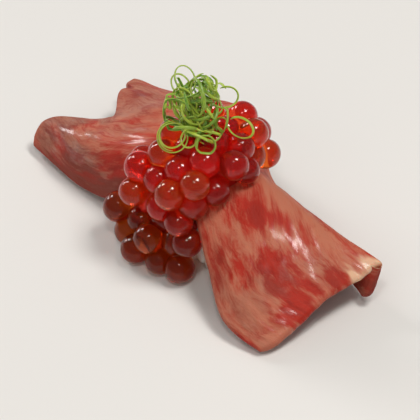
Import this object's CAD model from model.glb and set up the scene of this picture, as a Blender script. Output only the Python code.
"""Dresses the beef nigiri: a marbled slice, a heap of salmon roe, a nest of spring onion and pressed rice.

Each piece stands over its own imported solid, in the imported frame. The pieces' sizes are in
millimetres, and they become metres where a mesh is made. The studio's are in metres. +X runs
towards the slice's wide front flap, +Y to the far side, and +Z up.
"""

import logging
import math
import random
from collections.abc import Iterator, Sequence
from dataclasses import dataclass
from enum import Enum
from typing import Any

import bmesh
import bpy
import numpy as np
from mathutils import Matrix, Vector
from mathutils.bvhtree import BVHTree


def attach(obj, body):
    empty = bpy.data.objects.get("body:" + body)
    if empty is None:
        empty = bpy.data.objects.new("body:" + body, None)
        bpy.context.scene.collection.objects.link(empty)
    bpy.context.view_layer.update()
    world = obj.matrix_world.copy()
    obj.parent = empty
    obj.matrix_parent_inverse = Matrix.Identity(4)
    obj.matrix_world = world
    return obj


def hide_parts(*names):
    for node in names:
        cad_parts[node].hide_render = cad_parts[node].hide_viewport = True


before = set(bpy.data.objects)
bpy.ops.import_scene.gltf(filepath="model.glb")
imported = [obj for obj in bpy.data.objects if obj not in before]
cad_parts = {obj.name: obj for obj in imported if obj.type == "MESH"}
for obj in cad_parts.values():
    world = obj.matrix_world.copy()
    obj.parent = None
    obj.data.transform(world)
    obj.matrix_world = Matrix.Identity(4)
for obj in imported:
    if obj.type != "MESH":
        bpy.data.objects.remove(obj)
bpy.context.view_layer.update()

MM = 0.001
TABLE_GAP = 0.03  # millimetres between the table and what nearly lies on it
LOG = logging.getLogger("nigiri")

Array = np.ndarray
Piece = bpy.types.Object
Shape = tuple[Array, Array]
Material = bpy.types.Material
Colour = tuple[float, float, float]
Place = tuple[float, float, float]
Triple = tuple[float, float, float]
Span = tuple[float, float]
Inputs = dict[Any, Any] | None


class Slot(Enum):
    """The record's material slots."""

    RICE = "sushi_rice"
    BEEF = "raw_beef"
    ROE = "salmon_roe"
    ONION = "spring_onion"


class Solid(Enum):
    """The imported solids."""

    RICE = "rice"
    BEEF = "beef_slice"
    ROE = "salmon_roe"
    ONION = "spring_onion"


# Shader maths


@dataclass(frozen=True)
class Field:
    """One output socket of a shader tree. Arithmetic on it adds the nodes that work it out."""

    graph: "Graph"
    socket: bpy.types.NodeSocket

    @property
    def is_vector(self) -> bool:
        """Whether the socket carries three numbers."""
        return self.socket.type in ("VECTOR", "RGBA")

    def _join(self, operation: str, first: Any, second: Any) -> "Field":
        """Adds the node for one operation on two values, of which one is this field."""
        values = (first, second)
        wide = any(isinstance(v, tuple) or (isinstance(v, Field) and v.is_vector) for v in values)
        if wide:
            values = tuple((v,) * 3 if isinstance(v, (int, float)) else v for v in values)
        kind = "ShaderNodeVectorMath" if wide else "ShaderNodeMath"
        return self.graph.field(kind, 0, dict(enumerate(values)), {"operation": operation})

    def __add__(self, other: Any) -> "Field":
        """This plus other."""
        return self._join("ADD", self, other)

    def __radd__(self, other: Any) -> "Field":
        """Other plus this."""
        return self._join("ADD", other, self)

    def __sub__(self, other: Any) -> "Field":
        """This less other."""
        return self._join("SUBTRACT", self, other)

    def __rsub__(self, other: Any) -> "Field":
        """Other less this."""
        return self._join("SUBTRACT", other, self)

    def __mul__(self, other: Any) -> "Field":
        """This times other."""
        return self._join("MULTIPLY", self, other)

    def __rmul__(self, other: Any) -> "Field":
        """Other times this."""
        return self._join("MULTIPLY", other, self)


class Graph:
    """A material's node tree, empty but for its output."""

    COLOUR_RESULT = 2
    SHARE, FIRST_COLOUR, SECOND_COLOUR = 0, 6, 7

    def __init__(self, name: str) -> None:
        """Makes the material."""
        self.material = bpy.data.materials.new(name)
        self.material.use_nodes = True
        self.tree = self.material.node_tree
        self.tree.nodes.clear()

    def add(self, kind: str, sockets: Inputs = None, settings: Inputs = None) -> Any:
        """Adds a node.

        Args:
            kind: The node's type.
            sockets: A value or field for each input, by number or name.
            settings: Its properties, set before its sockets.

        Returns:
            The node.
        """
        node = self.tree.nodes.new(kind)
        for key, value in (settings or {}).items():
            setattr(node, key, value)
        for key, value in (sockets or {}).items():
            socket = node.inputs[key]
            if isinstance(value, Field):
                self.tree.links.new(value.socket, socket)
            elif socket.type == "RGBA":
                socket.default_value = (*value, 1.0)
            else:
                socket.default_value = value
        return node

    def field(self, kind: str, output: str | int, sockets: Inputs = None, settings: Inputs = None) -> Field:
        """Adds a node and gives one of its outputs as a field."""
        return Field(self, self.add(kind, sockets, settings).outputs[output])

    def attribute(self, name: str) -> Field:
        """The three numbers that the mesh holds under a name."""
        return self.field("ShaderNodeAttribute", "Vector", None, {"attribute_name": name})

    def place(self) -> Field:
        """The place on the piece, in metres."""
        return self.field("ShaderNodeTexCoord", "Object")

    def parts(self, vector: Field) -> tuple[Field, Field, Field]:
        """The three numbers of a vector."""
        x, y, z = self.add("ShaderNodeSeparateXYZ", {0: vector}).outputs
        return Field(self, x), Field(self, y), Field(self, z)

    def noise(self, at: Field, scale: float, detail: float = 2.0, roughness: float = 0.5) -> Field:
        """Noise from 0 to 1 at a place."""
        sockets = {"Vector": at, "Scale": scale, "Detail": detail, "Roughness": roughness}
        return self.field("ShaderNodeTexNoise", "Fac", sockets)

    def drift(self, at: Field, scale: float, detail: float) -> Field:
        """Noise in three directions, from about -0.5 to 0.5, that bends a pattern's coordinates."""
        sockets = {"Vector": at, "Scale": scale, "Detail": detail}
        return self.field("ShaderNodeTexNoise", "Color", sockets) - (0.5, 0.5, 0.5)

    def step(self, value: Field, low: float, high: float) -> Field:
        """Runs smoothly from 0, where the value is at low, to 1 at high."""
        sockets = {"Value": value, "From Min": low, "From Max": high}
        return self.field("ShaderNodeMapRange", "Result", sockets, {"interpolation_type": "SMOOTHSTEP"})

    def mix(self, share: Any, first: Any, second: Any) -> Field:
        """A colour between two, at a share from 0 to 1."""
        sockets = {self.SHARE: share, self.FIRST_COLOUR: first, self.SECOND_COLOUR: second}
        return self.field("ShaderNodeMix", self.COLOUR_RESULT, sockets, {"data_type": "RGBA"})

    def bump(self, height: Field, depth_mm: float) -> Field:
        """A normal that follows a height, whose whole range is a depth in millimetres."""
        return self.field("ShaderNodeBump", "Normal", {"Height": height, "Distance": depth_mm * MM})

    def finish(self, sockets: dict[str, Any]) -> Material:
        """Ends the tree in a Principled shader.

        Args:
            sockets: The shader's values and links.

        Returns:
            The material.
        """
        shader = self.field("ShaderNodeBsdfPrincipled", "BSDF", sockets)
        self.add("ShaderNodeOutputMaterial", {"Surface": shader})
        return self.material


def glow_inside(weight: float, radius: Triple, scale_mm: float) -> dict[str, Any]:
    """The shader's values for light that spreads inside: its share, and its reach in red, green and blue."""
    return {"Subsurface Weight": weight, "Subsurface Radius": radius, "Subsurface Scale": scale_mm * MM}


# Finishes


@dataclass(frozen=True)
class MarbledBeef:
    """Wet raw beef, whose pale fat runs through the red lean in long soft streaks.

    The mesh gives "fibre", the place along and across the fibres in centimetres, "marks", how
    fat, red and dull the flesh is, and "rim", how near the cut edge, how creamy and how wet.
    """

    lean: Colour = (0.45, 0.030, 0.016)
    deep_lean: Colour = (0.27, 0.018, 0.010)
    fat: Colour = (0.53, 0.180, 0.108)
    cream: Colour = (0.74, 0.45, 0.29)
    dull_lean: Colour = (0.235, 0.042, 0.026)
    dull_fat: Colour = (0.39, 0.155, 0.102)
    roughness: float = 0.55
    wet_roughness: float = 0.17
    grain_depth: float = 0.17

    def material(self) -> Material:
        """Makes the material."""
        g = Graph("raw_beef")
        fibre = g.attribute("fibre")
        fatness, redness, dullness = g.parts(g.attribute("marks"))
        rim, cream, wetness = g.parts(g.attribute("rim"))
        bent = fibre + g.drift(fibre * (0.6, 1.0, 1.0), 1.7, 3.0) * (0.9, 0.6, 0.0)
        broad = g.noise(bent * (0.8, 2.0, 1.0), 1.0, 3.0, 0.55)
        middling = g.noise(bent * (1.7, 5.5, 1.0), 1.0, 3.0, 0.6)
        thin = g.noise(bent * (3.0, 15.0, 1.0), 1.0, 3.0, 0.65)
        specks = g.noise(fibre * (11.0, 19.0, 1.0), 1.0, 3.0, 0.7)
        cloud = broad * 0.36 + middling * 0.34 + thin * 0.21 + specks * 0.09
        fattier = g.step(cloud, 0.36, 0.64) * 0.95 + fatness * 0.52 - redness * 0.70
        fat_share = g.step(fattier, -0.05, 1.05)
        depth = g.step(g.noise(bent * (1.1, 2.4, 1.0), 1.3, 3.0), 0.38, 0.66)
        lean = g.mix(depth * (0.30 + redness * 0.35), self.lean, self.deep_lean)
        fresh = g.mix(fat_share, lean, self.fat)
        dull_share = g.step(g.step(cloud, 0.34, 0.62) * 0.9 + fatness * 0.2 - redness * 0.7, 0.0, 1.0)
        dull = g.mix(dull_share, self.dull_lean, self.dull_fat)
        flesh = g.mix(dullness, fresh, dull)
        flesh = g.mix(rim * 0.45, flesh, g.mix(0.5, flesh, self.deep_lean))
        flesh = g.mix(cream, flesh, self.cream)
        threads = g.noise(bent * (2.0, 20.0, 4.0), 1.0, 3.0, 0.6)
        beads = g.noise(fibre * (13.0, 18.0, 10.0), 1.0, 2.0, 0.5)
        film = g.step(g.noise(fibre * (3.2, 6.0, 1.0), 1.0, 3.0), 0.40, 0.58)
        return g.finish(
            {
                "Base Color": flesh,
                "Roughness": self.roughness + (specks - 0.5) * 0.15,
                "Coat Weight": wetness * (film * 0.75 + 0.25) + film * 0.05,
                "Coat Roughness": self.wet_roughness,
                "Coat IOR": 1.42,
                "IOR": 1.38,
                "Specular IOR Level": 0.22,
                **glow_inside(0.3, (1.0, 0.30, 0.18), 1.1),
                "Normal": g.bump(threads * 0.5 + beads * 0.7, self.grain_depth),
            }
        )


@dataclass(frozen=True)
class RoeSkin:
    """The eggs' taut skin over clear red jelly, which glows where light gathers at the far side.

    The mesh gives "egg": how much light gathers there, the egg's own tone, and how high in the
    heap it lies.
    """

    deep: Colour = (0.90, 0.036, 0.028)
    bright: Colour = (0.98, 0.145, 0.026)
    low: Colour = (0.42, 0.055, 0.005)
    glow: Colour = (1.0, 0.26, 0.020)
    clearness: float = 0.87

    def material(self) -> Material:
        """Makes the material."""
        g = Graph("salmon_roe")
        gather, tone, height = g.parts(g.attribute("egg"))
        base = g.mix(g.step(tone, 0.45, 1.0), self.deep, self.bright)
        base = g.mix(g.step(height, 0.15, 0.75), self.low, base)
        skin = g.mix(gather, base, self.glow)
        return g.finish(
            {
                "Base Color": skin,
                "Roughness": 0.07,
                "IOR": 1.34,
                "Specular IOR Level": 0.2,
                "Transmission Weight": self.clearness,
                **glow_inside(0.8, (1.0, 0.18, 0.08), 2.4),
                "Coat Weight": height * 0.35 + 0.08,
                "Coat IOR": 1.42,
                "Coat Roughness": 0.035,
            }
        )


@dataclass(frozen=True)
class RoeJelly:
    """The brine and crushed eggs that fill the heap's heart."""

    dark: Colour = (0.40, 0.009, 0.007)
    light: Colour = (0.66, 0.026, 0.012)

    def material(self) -> Material:
        """Makes the material."""
        g = Graph("roe_jelly")
        at = g.place()
        cloud = g.noise(at, 260.0, 2.0)
        return g.finish(
            {
                "Base Color": g.mix(g.step(cloud, 0.35, 0.7), self.dark, self.light),
                "Roughness": 0.18,
                "IOR": 1.36,
                **glow_inside(0.5, (1.0, 0.15, 0.08), 2.0),
                "Normal": g.bump(g.noise(at, 420.0, 2.0), 0.4),
            }
        )


@dataclass(frozen=True)
class OnionSkin:
    """Shredded spring onion: deeper green in the middle of each strip, yellow-green at its cut sides.

    The mesh gives "shred": how near the cut side is, the strip's own tone, and the place along it.
    """

    leaf: Colour = (0.10, 0.25, 0.022)
    pale: Colour = (0.40, 0.52, 0.045)
    cut: Colour = (0.50, 0.60, 0.075)

    def material(self) -> Material:
        """Makes the material."""
        g = Graph("spring_onion")
        shred = g.attribute("shred")
        side, tone, along = g.parts(shred)
        veins = g.noise(shred * (9.0, 0.0, 60.0), 1.0, 2.0)
        cloud = g.noise(shred * (0.0, 9.0, 7.0), 1.0)
        blade = g.mix(g.step(tone + (cloud - 0.5) * 0.6, 0.1, 0.9), self.leaf, self.pale)
        skin = g.mix(g.step(side, 0.55, 1.0) * 0.75, blade, self.cut)
        return g.finish(
            {
                "Base Color": g.mix(g.step(veins, 0.3, 0.8) * 0.3, skin, self.cut),
                "Roughness": 0.34 + veins * 0.12,
                **glow_inside(0.3, (0.5, 1.0, 0.15), 0.6),
                "Coat Weight": 0.25,
                "Coat Roughness": 0.2,
                "Normal": g.bump(veins, 0.04),
            }
        )


@dataclass(frozen=True)
class CookedRice:
    """Seasoned rice: milky, moist grains.

    The mesh gives "grain": the grain's own tone and how near its tip is.
    """

    milky: Colour = (0.93, 0.90, 0.83)
    clear: Colour = (0.82, 0.78, 0.69)

    def material(self) -> Material:
        """Makes the material."""
        g = Graph("sushi_rice")
        tone, tip, _ = g.parts(g.attribute("grain"))
        at = g.place()
        cloud = g.noise(at, 900.0, 3.0)
        base = g.mix(g.step(tone * 0.7 + cloud * 0.5, 0.3, 0.9), self.clear, self.milky)
        return g.finish(
            {
                "Base Color": g.mix(tip * 0.3, base, self.clear),
                "Roughness": 0.30 + cloud * 0.2,
                **glow_inside(0.5, (1.0, 0.8, 0.6), 1.4),
                "Coat Weight": 0.3,
                "Coat Roughness": 0.18,
                "Normal": g.bump(g.noise(at, 1500.0, 2.0), 0.05),
            }
        )


@dataclass(frozen=True)
class PaleFloor:
    """A matt pale table top."""

    tone: Colour = (0.80, 0.79, 0.77)

    def material(self) -> Material:
        """Makes the material."""
        g = Graph("pale_floor")
        at = g.place()
        worn = g.noise(at, 6.0, 3.0)
        darker = tuple(0.97 * c for c in self.tone)
        return g.finish({"Base Color": g.mix(worn, self.tone, darker), "Roughness": 0.62})


# Mesh making


class Ripple:
    """Smooth seeded noise from 0 to 1, read at many points at once."""

    SIDE = 32

    def __init__(self, seed: int) -> None:
        """Fills the lattice that the noise runs through."""
        self.lattice = np.random.default_rng(seed).random((self.SIDE,) * 3)

    def __call__(self, *axes: Array | float) -> Array:
        """The noise at points.

        Args:
            axes: The points' coordinates, up to three arrays, in units of the noise's grain.

        Returns:
            One value for each point.
        """
        padded = [*axes, *[0.0] * (3 - len(axes))]
        points = np.stack(np.broadcast_arrays(*padded), axis=-1)
        cell = np.floor(points).astype(int)
        part = points - cell
        part = part * part * (3 - 2 * part)
        total = np.zeros(points.shape[:-1])
        for corner in np.ndindex(2, 2, 2):
            weight = np.prod(np.where(corner, part, 1 - part), axis=-1)
            i, j, k = np.moveaxis((cell + corner) % self.SIDE, -1, 0)
            total += weight * self.lattice[i, j, k]
        return total


def ramp(values: Array, low: float, high: float) -> Array:
    """Runs smoothly from 0, where the value is at low, to 1 at high."""
    share = np.clip((values - low) / (high - low), 0, 1)
    return share * share * (3 - 2 * share)


def through(points: Array, places: Array) -> Array:
    """Points on smooth curves through evenly spaced points.

    Args:
        points: The points that the curve runs through, as (count, 3), or as (count, rows,
            columns, 3) where each place has a curve of its own.
        places: The places on the curve, from 0 to 1, as (rows, columns).

    Returns:
        The points at those places, as (rows, columns, 3).
    """
    spans = len(points) - 1
    at = np.clip(places, 0, 1) * spans
    i = np.minimum(at.astype(int), spans - 1)
    f = (at - i)[..., None]
    padded = np.concatenate([[2 * points[0] - points[1]], points, [2 * points[-1] - points[-2]]])
    own = tuple(np.indices(places.shape)) if points.ndim > 2 else ()
    p0, p1, p2, p3 = (padded[(i + k, *own)] for k in range(4))
    bend = 2 * p0 - 5 * p1 + 4 * p2 - p3
    swing = 3 * (p1 - p2) + p3 - p0
    return 0.5 * (2 * p1 + (p2 - p0) * f + bend * f**2 + swing * f**3)


def unit(vectors: Array) -> Array:
    """The vectors at length 1."""
    return vectors / np.maximum(np.linalg.norm(vectors, axis=-1, keepdims=True), 1e-9)


def signed_volume(points: Array, faces: Array) -> float:
    """Six times the volume inside the faces, below 0 where they face inwards."""
    corners = points[faces]
    fans = [np.cross(corners[:, k], corners[:, k + 1]) for k in range(1, faces.shape[1] - 1)]
    return float(sum(np.sum(corners[:, 0] * fan) for fan in fans))


def solid(name: str, points: Array, faces: Array, values: dict[str, Array]) -> Piece:
    """Makes a mesh piece, and turns a closed one's faces outwards.

    Args:
        name: The piece's name.
        points: Its vertices in millimetres, as (count, 3).
        faces: The vertices of its faces, all with as many corners.
        values: Three numbers for each vertex under each attribute's name.

    Returns:
        The piece, smoothly shaded, in the scene.
    """
    if signed_volume(points, faces) < 0:
        faces = faces[:, ::-1]
    mesh = bpy.data.meshes.new(name)
    mesh.from_pydata((points * MM).tolist(), [], faces.tolist())
    mesh.shade_smooth()
    for key, numbers in values.items():
        made = mesh.attributes.new(key, "FLOAT_VECTOR", "POINT")
        made.data.foreach_set("vector", np.ascontiguousarray(numbers, dtype=np.float32).ravel())
    piece = bpy.data.objects.new(name, mesh)
    bpy.context.scene.collection.objects.link(piece)
    return piece


def serve(piece: Piece, slot: Slot, material: Material, stands_for: Solid | None = None) -> None:
    """Dresses a piece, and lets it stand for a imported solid.

    Args:
        piece: The piece.
        slot: The record's slot that it takes its finish from.
        material: Its material.
        stands_for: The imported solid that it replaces, if any.
    """
    piece.data.materials.append(material)
    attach(piece, "root")
    if stands_for:
        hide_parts(stands_for.value)
    LOG.info("%s: %d faces", piece.name, len(piece.data.polygons))


def packed(node: Solid) -> Shape:
    """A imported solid's points, in millimetres, and its triangles."""
    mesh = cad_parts[node.value].data
    mesh.calc_loop_triangles()
    points = np.array([vertex.co[:] for vertex in mesh.vertices]) / MM
    return points, np.array([triangle.vertices[:] for triangle in mesh.loop_triangles])


def taken(shape: bmesh.types.BMesh) -> Shape:
    """The points and faces of a shape, which is then let go."""
    points = np.array([vertex.co[:] for vertex in shape.verts])
    faces = np.array([[vertex.index for vertex in face.verts] for face in shape.faces])
    shape.free()
    return points, faces


def ball(fineness: int) -> Shape:
    """The points and triangles of a ball of radius 1."""
    shape = bmesh.new()
    bmesh.ops.create_icosphere(shape, subdivisions=fineness, radius=1.0)
    return taken(shape)


def both_sides(top: Array, bottom: Array) -> Array:
    """One row for each vertex of a sheet: the top's grid, then the bottom's without its border."""
    width = top.shape[-1]
    return np.concatenate([top.reshape(-1, width), bottom[1:-1, 1:-1].reshape(-1, width)])


def quads(index: Array) -> Array:
    """The quads of a grid of vertex numbers, as rows of four."""
    corners = (index[:-1, :-1], index[1:, :-1], index[1:, 1:], index[:-1, 1:])
    return np.stack(corners, axis=-1).reshape(-1, 4)


def sewn(top: Array, bottom: Array) -> Shape:
    """Joins two grids along their shared border into the points and quads of a closed sheet."""
    rows, columns = top.shape[:2]
    upper = np.arange(rows * columns).reshape(rows, columns)
    lower = upper.copy()
    inner = rows * columns + np.arange((rows - 2) * (columns - 2))
    lower[1:-1, 1:-1] = inner.reshape(rows - 2, columns - 2)
    return both_sides(top, bottom), np.concatenate([quads(upper), quads(lower)[:, ::-1]])


def heap(name: str, blocks: list[Array], faces: Array, key: str, values: list[Array]) -> Piece:
    """Makes one piece of many copies of a shape.

    Args:
        name: The piece's name.
        blocks: The points of each copy, in millimetres.
        faces: One copy's faces.
        key: The name of the attribute that the values go under.
        values: Three numbers for each of a copy's points.

    Returns:
        The piece.
    """
    joined = np.concatenate([faces + len(blocks[0]) * k for k in range(len(blocks))])
    return solid(name, np.concatenate(blocks), joined, {key: np.concatenate(values)})


def crowded(count: int, ease: float) -> Array:
    """Places from 0 to 1 that lie closer together towards both ends."""
    even = np.linspace(0, 1, count + 1)
    return even - ease * np.sin(2 * math.pi * even) / (2 * math.pi)


# Beef


class Mark(Enum):
    """What a patch of the slice is more of than the rest."""

    FAT = 0
    RED = 1
    DULL = 2
    CREAM = 3
    WET = 4


@dataclass(frozen=True)
class Patch:
    """A soft patch on the slice: its middle and half sizes along and across, from 0 to 1."""

    mark: Mark
    along: float
    across: float
    half_along: float
    half_across: float
    amount: float = 1.0
    slant: float = 0.0

    FRAYING = 1.9
    WHOLE_WITHIN = 0.15
    GONE_BEYOND = 1.4

    def share(self, along: Array, across: Array, fray: Array) -> Array:
        """How much of the patch is at each place, with its border frayed by noise."""
        u = (along - self.along) / self.half_along
        v = (across - self.across - self.slant * (along - self.along)) / self.half_across
        out = np.hypot(u, v) + (fray - 0.5) * self.FRAYING
        return self.amount * (1 - ramp(out, self.WHOLE_WITHIN, self.GONE_BEYOND))


FAT, RED, DULL, CREAM, WET = Mark
PATCHES = (
    Patch(FAT, 0.76, 0.62, 0.20, 0.085, 1.2, -0.10),
    Patch(FAT, 0.785, 0.34, 0.045, 0.09, 0.9, 0.5),
    Patch(FAT, 0.875, 0.155, 0.10, 0.095, 1.4, 0.2),
    Patch(FAT, 0.78, 0.02, 0.16, 0.035, 0.9),
    Patch(FAT, 0.72, 0.14, 0.10, 0.035, 0.6, 0.3),
    Patch(FAT, 0.985, 0.10, 0.028, 0.12, 1.2),
    Patch(FAT, 0.91, 0.47, 0.06, 0.06, 0.5),
    Patch(RED, 0.735, 0.42, 0.075, 0.075, 1.0, 1.0),
    Patch(RED, 0.83, 0.30, 0.038, 0.085, 1.0, 0.5),
    Patch(RED, 0.885, 0.27, 0.045, 0.085, 1.2),
    Patch(DULL, 0.885, 0.26, 0.045, 0.075, 0.6, 0.3),
    Patch(RED, 0.745, 0.135, 0.055, 0.030, 0.9, 0.2),
    Patch(RED, 0.955, 0.27, 0.032, 0.15, 1.0),
    Patch(RED, 0.75, 0.075, 0.10, 0.028, 0.9, 0.1),
    Patch(RED, 0.82, 0.20, 0.06, 0.025, 0.8, 0.2),
    Patch(RED, 0.96, 0.0, 0.06, 0.03, 1.0),
    Patch(RED, 0.97, 0.50, 0.045, 0.07, 0.8, 0.4),
    Patch(DULL, 0.94, 0.50, 0.06, 0.08, 0.4, 0.4),
    Patch(DULL, 0.99, 0.92, 0.08, 0.13, 1.0),
    Patch(RED, 0.99, 0.92, 0.08, 0.12, 0.7),
    Patch(CREAM, 1.0, 0.69, 0.052, 0.105, 1.6),
    Patch(DULL, 0.06, 0.22, 0.20, 0.30, 1.0),
    Patch(DULL, 0.12, 0.60, 0.22, 0.40, 0.65),
    Patch(DULL, 0.25, 0.02, 0.22, 0.12, 1.0),
    Patch(RED, 0.24, 0.01, 0.20, 0.12, 1.1),
    Patch(DULL, 0.78, 0.06, 0.18, 0.09, 0.6),
    Patch(RED, 0.34, 0.16, 0.06, 0.07, 0.8, 0.6),
    Patch(RED, 0.09, 0.60, 0.03, 0.05, 1.0),
    Patch(RED, 0.05, 0.66, 0.02, 0.03, 1.0),
    Patch(RED, 0.42, 0.36, 0.06, 0.06, 0.6),
    Patch(FAT, 0.20, 0.45, 0.12, 0.14, 0.5),
    Patch(FAT, 0.36, 0.24, 0.04, 0.06, 0.5),
    Patch(WET, 0.825, 0.46, 0.075, 0.080, 1.1),
    Patch(WET, 0.89, 0.43, 0.04, 0.04, 0.7),
    Patch(WET, 0.955, 0.21, 0.026, 0.05, 1.1),
    Patch(WET, 0.995, 0.19, 0.022, 0.05, 1.0),
    Patch(WET, 1.0, 0.68, 0.04, 0.08, 0.8),
    Patch(WET, 0.17, 0.18, 0.12, 0.07, 1.1),
    Patch(WET, 0.34, 0.28, 0.045, 0.06, 1.0),
    Patch(WET, 0.09, 0.60, 0.04, 0.06, 0.8),
)


@dataclass
class BeefSlice:
    """The draped slice of marbled beef, a closed sheet with rounded, slightly ragged edges."""

    thickness: float = 2.6
    steps_along: int = 250
    steps_across: int = 136
    ease: float = 0.6
    corner_share: float = 0.24
    corner_pull: float = 0.035
    tip_share: float = 0.40
    tip_pull: float = 0.066
    edge_wander: float = 0.012
    torn: float = 1.4
    nick_depth: float = 2.6
    nick_place: float = 0.68
    nick_width: float = 0.03
    ridge_height: float = 0.22
    fine_height: float = 0.10
    lump_height: float = 0.45
    fat_height: float = 0.18
    seed: int = 3
    near_hem: Sequence[Place] = (
        (-53.0, -18.5, 2.6), (-38, -19, 1.8), (-21, -17, 2.2), (-6, -14, 11),
        (9, -11.5, 18), (22, -16, 11.5), (34.5, -20.5, 5), (47.5, -17.5, 1.6),
    )
    near_shoulder: Sequence[Place] = (
        (-47.0, -12.5, 10.2), (-35, -15, 13.5), (-21, -13.5, 17.5), (-6, -10, 21),
        (9, -7.5, 22), (22, -9.5, 17.5), (35.5, -11.5, 10.5), (48.2, -9, 5),
    )
    crown: Sequence[Place] = (
        (-37.5, -2.5, 9.5), (-30.5, -1.5, 16), (-20, -1, 22.5), (-5, 0, 24),
        (10, 0, 23.4), (23, 0, 21.2), (36, 0.8, 15.8), (47.5, 2, 9),
    )
    far_shoulder: Sequence[Place] = (
        (-46.0, 6.0, 8.8), (-33.5, 8, 13.8), (-20, 9.5, 20.5), (-5, 10, 23.4),
        (9.5, 7.3, 21.8), (23, 8.2, 19.9), (35.5, 10.3, 15.8), (47.3, 12, 9.5),
    )
    far_edge: Sequence[Place] = (
        (-50.5, 12.5, 6.6), (-37, 14.5, 10.6), (-20.5, 17, 17.8), (-7, 18.5, 22.2),
        (7.5, 11.8, 17.8), (21.5, 13.2, 14.9), (35.5, 15.8, 12.9), (48.2, 18.8, 11.4),
    )
    far_tuck: Sequence[Place] = (
        (-51.5, 17, 3), (-38, 19.5, 5.2), (-21.5, 21.5, 12.5), (-8, 22.3, 16.5),
        (6, 17.5, 8.5), (20, 17.5, 3.5), (34, 17.5, 2.6), (50.4, 14.2, 1.6),
    )

    def surface(self, along: Array, across: Array) -> Array:
        """The slice's upper surface, at places from tail to flap and from near hem to far hem."""
        edge = np.abs(2 * across - 1)
        at_tip = (along < 0.5) & (across < 0.5)
        share = np.where(at_tip, self.tip_share, self.corner_share)
        into_corner = np.clip((edge - (1 - share)) / share, 0, 1)
        pull = np.where(at_tip, self.tip_pull, self.corner_pull) * (1 - np.sqrt(1 - into_corner**2))
        along = 0.5 + (along - 0.5) * (1 - 2 * pull)
        near = (self.near_hem, self.near_shoulder, self.crown)
        far = (self.far_shoulder, self.far_edge, self.far_tuck)
        curves = np.array([through(np.array(rail, float), along) for rail in near + far])
        return through(curves, across)

    def outward(self, along: Array, across: Array) -> Array:
        """The upper surface's outward direction."""
        step = 0.004
        u, v = np.clip(along, step, 1 - step), np.clip(across, step, 1 - step)
        down = self.surface(u + step, v) - self.surface(u - step, v)
        over = self.surface(u, v + step) - self.surface(u, v - step)
        return unit(np.cross(down, over))

    def grid(self) -> tuple[Array, Array]:
        """The places of the mesh's rows and columns, with the slice's outline a little ragged."""
        rows, columns = crowded(self.steps_along, self.ease), crowded(self.steps_across, self.ease)
        u, v = np.meshgrid(rows, columns, indexing="ij")
        ripple = Ripple(self.seed)
        ends = ripple(v * 9.0, 0.5 + np.round(u) * 7) * 0.7 + ripple(v * 31.0, 4.5 + np.round(u) * 7) * 0.3
        hems = ripple(u * 11.0, 9.5 + np.round(v) * 7) * 0.7 + ripple(u * 42.0, 14.5 + np.round(v) * 7) * 0.3
        nick = self.nick_depth * np.exp(-(((v - self.nick_place) / self.nick_width) ** 2))
        ends = ends + (ends * self.torn * ramp(v, 0.5, 0.7) + nick) * (u < 0.5)
        reach_u, reach_v = np.abs(2 * u - 1) ** 8, np.abs(2 * v - 1) ** 8
        along = 0.5 + (u - 0.5) * (1 - 2 * self.edge_wander * ends * reach_u)
        across = 0.5 + (v - 0.5) * (1 - 3 * self.edge_wander * hems * reach_v)
        return along, across

    def relief(self, along_mm: Array, across_mm: Array, fatness: Array) -> Array:
        """How far the flesh stands up, in millimetres: fibre ridges, soft lumps and full bands of fat."""
        ripple = Ripple(self.seed + 1)
        sway = ripple(along_mm / 11, across_mm / 9) * 3.0
        ridges = ripple(along_mm / 9, (across_mm + sway) / 1.5, 3.0) - 0.5
        fine = ripple(along_mm / 4, (across_mm + sway) / 0.7, 9.0) - 0.5
        lumps = ripple(along_mm / 8, across_mm / 5.5, 6.0) - 0.5
        grain = ridges * self.ridge_height + fine * self.fine_height
        return grain + lumps * self.lump_height + fatness * self.fat_height

    def build(self) -> Piece:
        """Builds the slice as one closed mesh."""
        along, across = self.grid()
        upper = self.surface(along, across)
        normal = self.outward(along, across)
        over_rows = np.linalg.norm(np.diff(upper, axis=0), axis=-1)
        over_columns = np.linalg.norm(np.diff(upper, axis=1), axis=-1)
        s = np.concatenate([np.zeros((1, along.shape[1])), np.cumsum(over_rows, axis=0)])
        t = np.concatenate([np.zeros((along.shape[0], 1)), np.cumsum(over_columns, axis=1)], axis=1)
        to_edge = np.minimum(np.minimum(s, s[-1:] - s), np.minimum(t, t[:, -1:] - t))
        marks = self.marks(along, across, s, t)
        half = self.thickness / 2
        round_off = np.sqrt(1 - (1 - np.clip(to_edge / half, 0, 1)) ** 2)
        inside = ramp(to_edge, 0.0, 3.0)
        middle = upper - normal * half
        relief = self.relief(s, t, marks[..., FAT.value]) * (0.35 + 0.65 * inside)
        top = middle + normal * (half * round_off + relief * ramp(to_edge, 0, 1.0))[..., None]
        under = self.relief(s + 80, t, 0 * s) * 0.5
        bottom = middle - normal * (half * round_off - under * ramp(to_edge, 0, 1.0))[..., None]
        bottom[..., 2] = np.maximum(bottom[..., 2], TABLE_GAP)
        top[..., 2] = np.maximum(top[..., 2], TABLE_GAP + np.minimum(to_edge, 1.1))
        rim = 1 - ramp(to_edge, 0.2, 1.8)
        fibre = np.stack([s / 10, t / 10, 0 * s], axis=-1)
        shade = np.stack([rim, marks[..., CREAM.value], marks[..., WET.value]], axis=-1)
        values = {
            "fibre": both_sides(fibre, fibre + (3.7, 0.0, 0.0)),
            "marks": both_sides(marks[..., :3], marks[..., :3]),
            "rim": both_sides(shade, shade),
        }
        return solid("beef_marbled_slice", *sewn(top, bottom), values)

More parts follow.
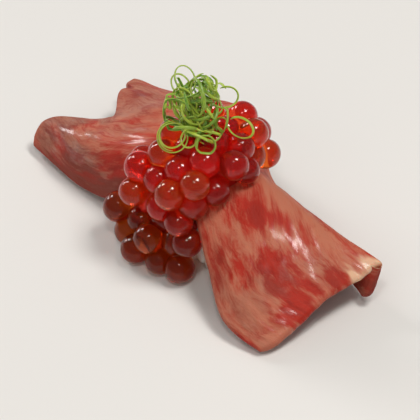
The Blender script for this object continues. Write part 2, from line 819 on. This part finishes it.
    def marks(self, along: Array, across: Array, s: Array, t: Array) -> Array:
        """How fat, red, dull, creamy and wet the flesh is at each place."""
        ripple = Ripple(self.seed + 2)
        found = np.zeros((*along.shape, len(Mark)))
        for number, patch in enumerate(PATCHES):
            lane = number * 1.7
            fray = ripple(s / 6, t / 2.4, lane) * 0.65 + ripple(s / 2.6, t / 0.9, lane + 9) * 0.35
            mark = patch.mark.value
            found[..., mark] = np.maximum(found[..., mark], patch.share(along, across, fray))
        return found

    def dress(self, piece: Piece) -> None:
        """Gives the slice its finish."""
        serve(piece, Slot.BEEF, MarbledBeef().material(), Solid.BEEF)


# Rice


@dataclass
class PressedRice:
    """The pressed rice: a heart under the slice, covered all over with cooked grains."""

    grain_half_sizes: Triple = (2.7, 1.32, 1.26)
    grain_count: int = 520
    grain_spacing: float = 2.1
    grain_tries: int = 9000
    grain_spread: Span = (0.86, 1.1)
    grain_depths: Span = (0.55, 1.15)
    grain_tilt: float = 0.22
    grain_bend: float = 0.10
    heart_inset: float = 1.3
    heart_share: float = 0.96
    smoothings: int = 6
    foot_height: float = 0.9
    front_tuck: float = 0.82
    seed: int = 12

    def places(self) -> list[tuple[Array, Array]]:
        """Where the grains lie: place and outward direction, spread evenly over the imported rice."""
        points, faces = packed(Solid.RICE)
        points[:, 1] *= np.where(points[:, 1] < 0, self.front_tuck, 1.0)
        corners = points[faces]
        across = np.cross(corners[:, 1] - corners[:, 0], corners[:, 2] - corners[:, 0])
        area = np.linalg.norm(across, axis=1)
        draw = np.random.default_rng(self.seed)
        chosen = draw.choice(len(faces), self.grain_tries, p=area / area.sum())
        weights = draw.dirichlet((1, 1, 1), len(chosen))
        spots = np.einsum("ij,ijk->ik", weights, corners[chosen])
        normals = unit(across[chosen])
        laid: list[tuple[Array, Array]] = []
        kept = np.zeros((0, 3))
        for spot, normal in zip(spots, normals):
            clear = not len(kept) or np.linalg.norm(kept - spot, axis=1).min() > self.grain_spacing
            if clear and spot[2] > self.foot_height and normal[2] > -0.6:
                laid.append((spot, normal))
                kept = np.vstack([kept, spot])
            if len(laid) == self.grain_count:
                break
        return laid

    def build(self) -> Piece:
        """Builds the grains, which overlap into one heap."""
        draw = np.random.default_rng(self.seed + 1)
        unit_ball, faces = ball(2)
        blocks, tones = [], []
        for spot, normal in self.places():
            turn = draw.normal(size=3)
            lengthwise = unit(np.cross(normal, turn) + normal * draw.normal() * self.grain_tilt)
            sideways = unit(np.cross(normal, lengthwise))
            up = np.cross(lengthwise, sideways)
            size = np.array(self.grain_half_sizes) * draw.uniform(*self.grain_spread, 3)
            body = unit_ball * size
            body[:, 2] += self.grain_bend * size[0] * (unit_ball[:, 0] ** 2 - 0.4)
            centre = spot - normal * draw.uniform(*self.grain_depths)
            placed = centre + body @ np.array([lengthwise, sideways, up])
            placed[:, 2] = np.maximum(placed[:, 2], 0.02)
            blocks.append(placed)
            tone = np.full(len(body), draw.random())
            tones.append(np.stack([tone, np.abs(unit_ball[:, 0]) ** 4, 0 * tone], axis=1))
        return heap("rice_grains", blocks, faces, "grain", tones)

    def build_heart(self) -> Piece:
        """Builds the solid heart that the grains lie on."""
        shape = bmesh.new()
        shape.from_mesh(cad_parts[Solid.RICE.value].data)
        bmesh.ops.remove_doubles(shape, verts=shape.verts, dist=0.02 * MM)
        bmesh.ops.triangulate(shape, faces=shape.faces)
        bmesh.ops.subdivide_edges(shape, edges=shape.edges, cuts=1, use_grid_fill=True)
        for _ in range(self.smoothings):
            bmesh.ops.smooth_vert(
                shape, verts=shape.verts, factor=0.5, use_axis_x=True, use_axis_y=True, use_axis_z=True
            )
        shape.normal_update()
        middle = Vector((0.0, 0.0, 0.008))
        for vertex in shape.verts:
            inset = vertex.normal * self.heart_inset * 0.5 * MM
            vertex.co = middle + (vertex.co - middle) * self.heart_share - inset
            vertex.co.y *= self.front_tuck if vertex.co.y < 0 else 1.0
            vertex.co.z = max(vertex.co.z, 0.05 * MM)
        bmesh.ops.triangulate(shape, faces=shape.faces)
        points, faces = taken(shape)
        tones = np.full(points.shape, (0.2, 0.0, 0.0))
        return solid("rice_heart", points / MM, faces, {"grain": tones})

    def dress(self, grains: Piece, heart: Piece) -> None:
        """Gives both their finish."""
        material = CookedRice().material()
        serve(grains, Slot.RICE, material, Solid.RICE)
        serve(heart, Slot.RICE, material)


# Roe


@dataclass
class Egg:
    """One egg of roe: its centre and radius, and whether it lies hidden under the heap's cap."""

    centre: Vector
    radius: float
    buried: bool = False


def between_three(values: Sequence[float], share: float) -> float:
    """Runs smoothly from the first value at -1 to the second at 0 and the third at 1."""
    near, middle, far = values
    end = far if share > 0 else near
    ease = share * share * (3 - 2 * abs(share))
    return middle + (end - middle) * ease


@dataclass
class RoeHeap:
    """The salmon roe: rows of eggs laid over the slice like a saddle cloth, in two layers."""

    egg_radius: float = 3.35
    size_spread: float = 0.07
    pitch: float = 6.0
    row_share: float = 0.87
    jitter: float = 0.9
    layer_jitter: float = 0.6
    mean_radius: float = 22.0
    seed: int = 5
    gap: float = 0.35
    axis: tuple[float, float] = (-1.0, 9.0)
    near_angle: float = math.radians(-108.0)
    far_angle: float = math.radians(48.0)
    middles: Triple = (1.3, 6.4, 4.0)
    half_widths: Triple = (11.6, 10.2, 7.0)
    layer_rise: float = 4.8
    layer_inset: float = 1.6
    cap_angles: Span = (math.radians(-58.0), math.radians(32.0))
    foot_angle: float = math.radians(-78.0)
    foot_reach: float = 6.8
    foot_taper: float = 10.5
    foot_ease: float = 1.6
    buried_inset: float = math.radians(9.0)
    settle_rounds: int = 60
    squeeze: float = 0.9
    swell: float = 1.11
    flat_gap: float = 0.03
    full_height: float = 30.0
    jelly_steps: tuple[int, int] = (52, 24)
    jelly_gap: float = 0.5
    jelly_lift: float = 0.6
    jelly_insets: Span = (math.radians(10), math.radians(5))
    jelly_margin: float = 0.8
    jelly_depth: float = 1.15
    jelly_edge: float = 0.05
    jelly_feel: Span = (0.09, 1.2)
    jelly_cap: float = 0.9
    jelly_foot: float = 0.6
    cap_ease: float = 0.35
    light: Triple = (0.25, 0.10, 0.96)

    def __post_init__(self) -> None:
        """Takes the solids that the heap lies on."""
        shapes = [packed(each) for each in (Solid.BEEF, Solid.RICE)]
        self.trees = [BVHTree.FromPolygons(points.tolist(), faces.tolist()) for points, faces in shapes]

    def bed_radius(self, angle: float, x: float) -> float:
        """How far the bed's outer surface lies from the heap's axis."""
        away = Vector((0, math.sin(angle), math.cos(angle)))
        far_off = 80.0
        start = Vector((x, *self.axis)) + away * far_off
        reach = 0.0
        for tree in self.trees:
            hit = tree.ray_cast(start, -away, far_off)
            if hit[0]:
                reach = max(reach, far_off - hit[3])
        return reach

    def push_out(self, centre: Vector, clearance: float) -> Vector:
        """Moves a point until it is clear of the bed and of the table."""
        for tree in self.trees:
            place, normal, _, distance = tree.find_nearest(centre)
            inside = (centre - place).dot(normal) < 0
            if inside or distance < clearance:
                away = normal if inside or distance < 1e-6 else (centre - place).normalized()
                centre = place + away * clearance
        centre.z = max(centre.z, clearance)
        return centre

    def point(self, angle: float, x: float, radius: float) -> Vector:
        """The point at a distance from the heap's axis."""
        return Vector((x, self.axis[0] + math.sin(angle) * radius, self.axis[1] + math.cos(angle) * radius))

    def foot_spread(self, angle: float, x: float) -> float:
        """How much further out the heap reaches near the table."""
        share = (self.foot_angle - angle) / (self.foot_angle - self.near_angle)
        taper = max(0.0, 1 - (x / self.foot_taper) ** 2)
        return self.foot_reach * taper * min(max(share * self.foot_ease, 0.0), 1.0)

    def middle_and_width(self, angle: float) -> tuple[float, float]:
        """The heap's middle and half width along X at an angle."""
        share = angle / (self.far_angle if angle > 0 else -self.near_angle)
        return between_three(self.middles, share), between_three(self.half_widths, share)

    def rows(self) -> Iterator[tuple[int, int, float, float, float]]:
        """Each row of eggs: its layer, number, angle, middle and half width."""
        for layer, (first, last) in enumerate(((self.near_angle, self.far_angle), self.cap_angles)):
            rise = self.egg_radius + self.gap + layer * self.layer_rise
            angle, row = first, 0
            while angle < last:
                middle, half_width = self.middle_and_width(angle)
                yield layer, row, angle, middle, half_width - layer * self.layer_inset
                angle += self.pitch * self.row_share / (self.bed_radius(angle, middle) + rise)
                row += 1

    def eggs(self) -> list[Egg]:
        """Every egg: staggered rows, eased apart where they show."""
        draw = random.Random(self.seed)
        cap_near, cap_far = self.cap_angles
        found = []
        for layer, row, angle, middle, half_width in self.rows():
            rise = self.egg_radius + self.gap + layer * self.layer_rise
            count = max(1, round(2 * half_width / self.pitch))
            capped = cap_near + self.buried_inset < angle < cap_far - self.buried_inset
            for i in range(count):
                x = middle + (i - (count - 1) / 2 - (row % 2) * 0.5 + 0.25) * self.pitch
                x += draw.uniform(-self.jitter, self.jitter)
                turned = angle + draw.uniform(-self.jitter, self.jitter) / self.mean_radius
                lift = rise + draw.uniform(-self.layer_jitter, self.layer_jitter) * layer
                lift += self.foot_spread(turned, x)
                radius = self.egg_radius * (1 + draw.uniform(-self.size_spread, self.size_spread))
                centre = self.point(turned, x, self.bed_radius(turned, x) + lift)
                found.append(Egg(centre, radius, layer == 0 and 0 < i < count - 1 and capped))
        self.ease_apart([egg for egg in found if not egg.buried])
        return found

    def ease_apart(self, eggs: list[Egg]) -> None:
        """Moves eggs apart until they press on each other only a little, and out of the bed."""
        for _ in range(self.settle_rounds):
            for i, first in enumerate(eggs):
                for second in eggs[i + 1:]:
                    between = second.centre - first.centre
                    apart = (first.radius + second.radius) * self.squeeze
                    if 1e-6 < between.length < apart:
                        step = between.normalized() * (apart - between.length) / 2
                        first.centre = first.centre - step
                        second.centre = second.centre + step
            for egg in eggs:
                egg.centre = self.push_out(egg.centre, egg.radius + self.gap)

    def build(self, eggs: list[Egg]) -> Piece:
        """Builds the eggs, each pressed flat where it meets its neighbours."""
        draw = np.random.default_rng(self.seed + 1)
        sphere, faces = ball(4)
        centres = np.array([egg.centre[:] for egg in eggs])
        radii = np.array([egg.radius for egg in eggs]) * self.swell
        light = unit(np.array(self.light))
        blocks, values = [], []
        for k, egg in enumerate(eggs):
            body = sphere * radii[k] * draw.uniform(0.97, 1.03, 3)
            between = centres - centres[k]
            gaps = np.linalg.norm(between, axis=1)
            for m in np.flatnonzero((gaps > 0) & (gaps < radii + radii[k])):
                toward = between[m] / gaps[m]
                wall = (gaps[m] ** 2 + radii[k] ** 2 - radii[m] ** 2) / (2 * gaps[m]) - self.flat_gap
                over = body @ toward - wall
                body = body - np.where(over > 0, over, 0)[:, None] * toward
            block = centres[k] + body
            block[:, 2] = np.maximum(block[:, 2], TABLE_GAP)
            blocks.append(block)
            gather = ramp(-(sphere @ light), 0.0, 0.9)
            tone = np.full(len(sphere), draw.random())
            height = np.full(len(sphere), np.clip(egg.centre.z / self.full_height, 0, 1))
            values.append(np.stack([gather, tone, height], axis=1))
        return heap("roe_eggs", blocks, faces, "egg", values)

    def build_jelly(self) -> Piece:
        """Builds the heap's heart: a saddle cloth under the eggs that thins towards its border."""
        rows, columns = self.jelly_steps
        near, far = self.near_angle + self.jelly_insets[0], self.far_angle - self.jelly_insets[1]
        turn, shift = self.jelly_feel
        lower, upper = np.zeros((2, rows + 1, columns + 1, 3))
        for i, j in np.ndindex(rows + 1, columns + 1):
            angle = near + (far - near) * i / rows
            middle, width = self.middle_and_width(angle)
            side = 2 * j / columns - 1
            x = middle + (width - self.egg_radius * self.jelly_margin) * side
            spots = [(angle + turn * m, x + shift * n) for m in (-1, 0, 1) for n in (-1, 0, 1)]
            seat = max(self.bed_radius(*spot) for spot in spots) + self.jelly_gap
            dome = math.sqrt(max(0.0, 1 - side * side)) * min(1.0, math.sqrt(min(i, rows - i) / 5))
            into_cap = min(angle - self.cap_angles[0], self.cap_angles[1] - angle) / self.cap_ease
            cap = self.layer_rise * self.jelly_cap * min(max(into_cap, 0.0), 1.0)
            foot = self.foot_spread(angle, x) * self.jelly_foot
            thick = (self.egg_radius * self.jelly_depth + cap + foot) * dome + self.jelly_edge
            lower[i, j] = self.point(angle, x, seat)
            upper[i, j] = self.point(angle, x, seat + thick)
        for grid in (lower, upper):
            grid[..., 2] = np.maximum(grid[..., 2], self.jelly_lift)
        border = np.ones((rows + 1, columns + 1), bool)
        border[1:-1, 1:-1] = False
        lower[border] = upper[border]
        return solid("roe_jelly", *sewn(upper, lower), {})

    def dress(self, eggs: Piece, jelly: Piece) -> None:
        """Gives both their finish."""
        serve(eggs, Slot.ROE, RoeSkin().material(), Solid.ROE)
        serve(jelly, Slot.ROE, RoeJelly().material())


# Spring onion


@dataclass(frozen=True)
class Loop:
    """A wide loop that stands off the nest, and where on its ring it starts and how far it winds."""

    centre: Place
    facing: Triple
    radius: float
    stretch: float
    start: float
    sweep: float


@dataclass
class OnionNest:
    """The nest of spring onion: many fine curled shreds, with a few wide loops standing off it."""

    centre: Place = (4.2, -4.2, 42.6)
    half_sizes: Triple = (7.6, 7.6, 10.6)
    width: float = 0.74
    thickness: float = 0.34
    curls: int = 42
    steps: int = 54
    seed: int = 31
    clearance: float = 0.5
    curl_reach: Span = (0.2, 0.9)
    curl_radii: Span = (1.2, 3.9)
    curl_turns: Span = (0.8, 2.1)
    curl_growth: Span = (-0.5, 0.6)
    curl_pitch: Span = (-3.5, 3.5)
    curl_stray: float = 1.6
    twist: Span = (-1.2, 1.2)
    loop_shrink: float = 0.18
    loop_tones: Span = (0.45, 1.0)
    curl_tones: Span = (0.0, 0.85)
    outline: Sequence[tuple[float, float]] = (
        (-1, 0), (-0.55, 0.9), (0.55, 0.9), (1, 0), (0.55, -0.9), (-0.55, -0.9),
    )
    loops: Sequence[Loop] = (
        Loop((4.6, -11.6, 38.3), (0.6, -0.5, 0.67), 3.9, 1.0, 20.0, 560.0),
        Loop((4.2, -11.2, 38.7), (0.5, -0.55, 0.67), 3.3, 1.1, 60.0, 330.0),
        Loop((12.4, 2.8, 39.2), (0.3, -0.75, 0.6), 2.6, 1.5, 20.0, 320.0),
        Loop((-1.8, -4.4, 46.6), (0.5, -0.6, 0.6), 2.2, 1.4, 0.0, 420.0),
        Loop((11.0, -6.6, 37.8), (0.7, -0.5, 0.3), 2.5, 1.1, 30.0, 420.0),
        Loop((7.5, 2.0, 46.0), (0.6, -0.6, 0.3), 3.0, 1.2, 10.0, 260.0),
        Loop((-0.6, -4.0, 49.2), (0.3, -0.4, 0.85), 2.5, 1.5, 0.0, 400.0),
        Loop((4.6, -3.0, 50.2), (0.3, -0.4, 0.85), 2.3, 1.4, 200.0, 340.0),
        Loop((7.6, -9.0, 38.8), (0.6, -0.6, 0.5), 2.1, 1.2, 90.0, 380.0),
    )

    def curl(self, draw: np.random.Generator) -> tuple[Array, Array]:
        """One curl of the nest's body: its path, and the axis that it winds round."""
        middle, half = np.array(self.centre), np.array(self.half_sizes)
        axis = unit(draw.normal(size=3) * (1.0, 1.0, 0.7))
        first = unit(np.cross(axis, draw.normal(size=3)))
        second = np.cross(axis, first)
        heart = middle + unit(draw.normal(size=3)) * half * draw.uniform(*self.curl_reach)
        radius = draw.uniform(*self.curl_radii)
        turns = draw.uniform(*self.curl_turns)
        t = np.linspace(0, 1, self.steps)[:, None]
        angle = math.tau * (turns * t + draw.random())
        swell = radius * (1 + draw.uniform(*self.curl_growth) * t)
        drift = axis * draw.uniform(*self.curl_pitch) * t + draw.normal(size=3) * self.curl_stray * t * t
        path = heart + (first * np.cos(angle) + second * np.sin(angle)) * swell + drift
        reach = np.linalg.norm((path - middle) / half, axis=1, keepdims=True)
        held = (1.0 + 0.35 * ramp(reach, 1.0, 2.2)) / np.maximum(reach, 1e-6)
        path = middle + (path - middle) * np.minimum(1.0, held)
        return path, np.broadcast_to(axis, path.shape)

    def loop(self, loop: Loop) -> tuple[Array, Array]:
        """One wide loop, with its ends drawn back to the nest's middle."""
        centre, facing = np.array(loop.centre), unit(np.array(loop.facing))
        inward = np.array(self.centre) - centre
        inward = unit(inward - facing * (inward @ facing))
        sideways = np.cross(facing, inward)
        t = np.linspace(0, 1, self.steps)[:, None]
        turn = np.radians(loop.start + loop.sweep * t)
        ring = (inward * np.cos(turn) * loop.stretch + sideways * np.sin(turn)) * loop.radius
        ring = centre + ring * (1 - self.loop_shrink * t) + facing * (0.9 * t - 0.4)
        return ring, np.broadcast_to(facing, ring.shape)

    def clear(self, path: Array, eggs: list[Egg]) -> Array:
        """Lifts a path out of any egg that it would touch."""
        centres = np.array([egg.centre[:] for egg in eggs])
        least = np.array([egg.radius for egg in eggs]) + self.clearance
        for _ in range(8):
            for centre, reach in zip(centres, least):
                between = path - centre
                length = np.linalg.norm(between, axis=1, keepdims=True)
                path = np.where(length < reach, centre + between / np.maximum(length, 1e-6) * reach, path)
        return path

    def strip(self, path: Array, axis: Array, twist: float) -> Array:
        """The rings of six points that make a flat strip along a path."""
        ahead = unit(np.gradient(path, axis=0))
        flat = unit(axis - ahead * np.sum(axis * ahead, axis=1, keepdims=True))
        upright = np.cross(ahead, flat)
        turn = np.linspace(0, twist, len(path))[:, None]
        wide = (flat * np.cos(turn) + upright * np.sin(turn)) * self.width / 2
        deep = (upright * np.cos(turn) - flat * np.sin(turn)) * self.thickness / 2
        steps = np.arange(len(path))
        taper = (0.35 + 0.65 * ramp(np.minimum(steps, steps[::-1]), 0, 4))[:, None, None]
        outline = np.array(self.outline)
        ring = outline[None, :, :1] * wide[:, None, :] + outline[None, :, 1:] * deep[:, None, :]
        return path[:, None, :] + ring * taper

    def build(self, eggs: list[Egg]) -> Piece:
        """Builds every shred as one mesh."""
        draw = np.random.default_rng(self.seed)
        paths = [self.loop(loop) for loop in self.loops] + [self.curl(draw) for _ in range(self.curls)]
        corners = len(self.outline)
        index = np.arange(self.steps * corners).reshape(self.steps, corners)
        ahead = np.roll(index, -1, axis=1)
        sides = np.stack([index[:-1], ahead[:-1], ahead[1:], index[1:]], axis=-1).reshape(-1, 4)
        halves = ((0, 1, 2, 3), (0, 3, 4, 5))
        caps = np.array([ring[list(half)] for ring in (index[0][::-1], index[-1]) for half in halves])
        side = np.broadcast_to([1, 0.5, 0.5, 1, 0.5, 0.5], index.shape)
        along = np.broadcast_to(np.linspace(0, 1, self.steps)[:, None], index.shape)
        blocks, values = [], []
        for k, (path, axis) in enumerate(paths):
            rings = self.strip(self.clear(path, eggs), axis, draw.uniform(*self.twist))
            blocks.append(rings.reshape(-1, 3))
            tones = self.loop_tones if k < len(self.loops) else self.curl_tones
            tone = np.full(index.shape, draw.uniform(*tones))
            values.append(np.stack([side, tone, along + k], axis=-1).reshape(-1, 3))
        return heap("onion_curls", blocks, np.concatenate([sides, caps]), "shred", values)

    def dress(self, piece: Piece) -> None:
        """Gives the nest its finish."""
        serve(piece, Slot.ONION, OnionSkin().material(), Solid.ONION)


# Studio


@dataclass(frozen=True)
class Lamp:
    """A soft square lamp: its place in metres, side, power and colour, and whether gloss shows it."""

    name: str
    place: Place
    side: float
    power: float
    tint: Colour = (1.0, 1.0, 1.0)
    glints: bool = True


@dataclass
class Studio:
    """The pale floor, the soft lamps and the camera."""

    aim: Place = (0.0, 0.0, 0.018)
    floor_half: float = 1.2
    sky: Colour = (1.0, 0.98, 0.95)
    sky_strength: float = 0.22
    camera_place: Place = (0.62799, -0.44149, 0.71606)
    camera_ahead: Triple = (-0.59920, 0.42298, -0.67974)
    camera_roll: float = math.radians(1.795)
    lens: float = 365.13
    sensor_width: float = 36.0
    lamps: Sequence[Lamp] = (
        Lamp("overhead", (0.24, 0.20, 0.82), 0.24, 4.0, (1.0, 0.97, 0.93)),
        Lamp("above_tip", (0.28, -0.25, 0.80), 0.12, 1.1, (1.0, 0.97, 0.93)),
        Lamp("behind_left", (-0.75, -0.10, 0.55), 0.22, 2.0, (1.0, 0.98, 0.96)),
        Lamp("low_left", (-0.85, -0.20, 0.22), 0.20, 1.2, (1.0, 0.98, 0.96)),
        Lamp("front_fill", (0.50, -0.90, 0.60), 0.9, 2.1, (1.0, 0.96, 0.92), False),
    )

    def place(self, thing: Piece, at: Place, ahead: Vector, roll: float = 0.0) -> None:
        """Puts a camera or lamp in the scene, turned towards a direction and rolled round it."""
        turn = (-ahead).to_track_quat("Z", "Y").to_matrix().to_4x4()
        thing.matrix_world = Matrix.Translation(at) @ turn @ Matrix.Rotation(-roll, 4, "Z")
        bpy.context.scene.collection.objects.link(thing)

    def hang_lamps(self) -> None:
        """Hangs the lamps and sets the sky."""
        for lamp in self.lamps:
            light = bpy.data.lights.new(lamp.name, "AREA")
            light.size = lamp.side
            light.energy = lamp.power
            light.color = lamp.tint
            thing = bpy.data.objects.new(lamp.name, light)
            thing.visible_glossy = lamp.glints
            self.place(thing, lamp.place, Vector(self.aim) - Vector(lamp.place))
        world = bpy.data.worlds.new("studio_sky")
        bpy.context.scene.world = world
        world.use_nodes = True
        background = world.node_tree.nodes["Background"]
        background.inputs["Color"].default_value = (*self.sky, 1.0)
        background.inputs["Strength"].default_value = self.sky_strength

    def lay_floor(self) -> None:
        """Lays the floor that the nigiri stands on."""
        h = self.floor_half / MM
        points = np.array([(-h, -h, 0), (h, -h, 0), (h, h, 0), (-h, h, 0)])
        floor = solid("pale_floor", points, np.array([[0, 1, 2, 3]]), {})
        floor.data.materials.append(PaleFloor().material())

    def set_camera(self) -> None:
        """Sets the camera, without shift or depth of field."""
        camera = bpy.data.cameras.new("camera")
        camera.sensor_width = self.sensor_width
        camera.lens = self.lens
        camera.clip_start = 0.05
        camera.clip_end = 20.0
        thing = bpy.data.objects.new("camera", camera)
        self.place(thing, self.camera_place, Vector(self.camera_ahead), self.camera_roll)
        bpy.context.scene.camera = thing

    def build(self) -> None:
        """Sets up floor, lamps, camera and the picture's plain tone curve."""
        self.lay_floor()
        self.hang_lamps()
        self.set_camera()
        bpy.context.scene.view_settings.view_transform = "Standard"
        LOG.info("studio: %d lamps", len(self.lamps))


def main() -> None:
    """Builds the nigiri from the table upwards, then the studio round it."""
    logging.basicConfig(level=logging.INFO, format="%(name)s %(message)s")
    rice = PressedRice()
    rice.dress(rice.build(), rice.build_heart())
    beef = BeefSlice()
    beef.dress(beef.build())
    roe = RoeHeap()
    eggs = roe.eggs()
    roe.dress(roe.build(eggs), roe.build_jelly())
    onion = OnionNest()
    onion.dress(onion.build([egg for egg in eggs if not egg.buried]))
    Studio().build()


if __name__ == "__main__":
    main()
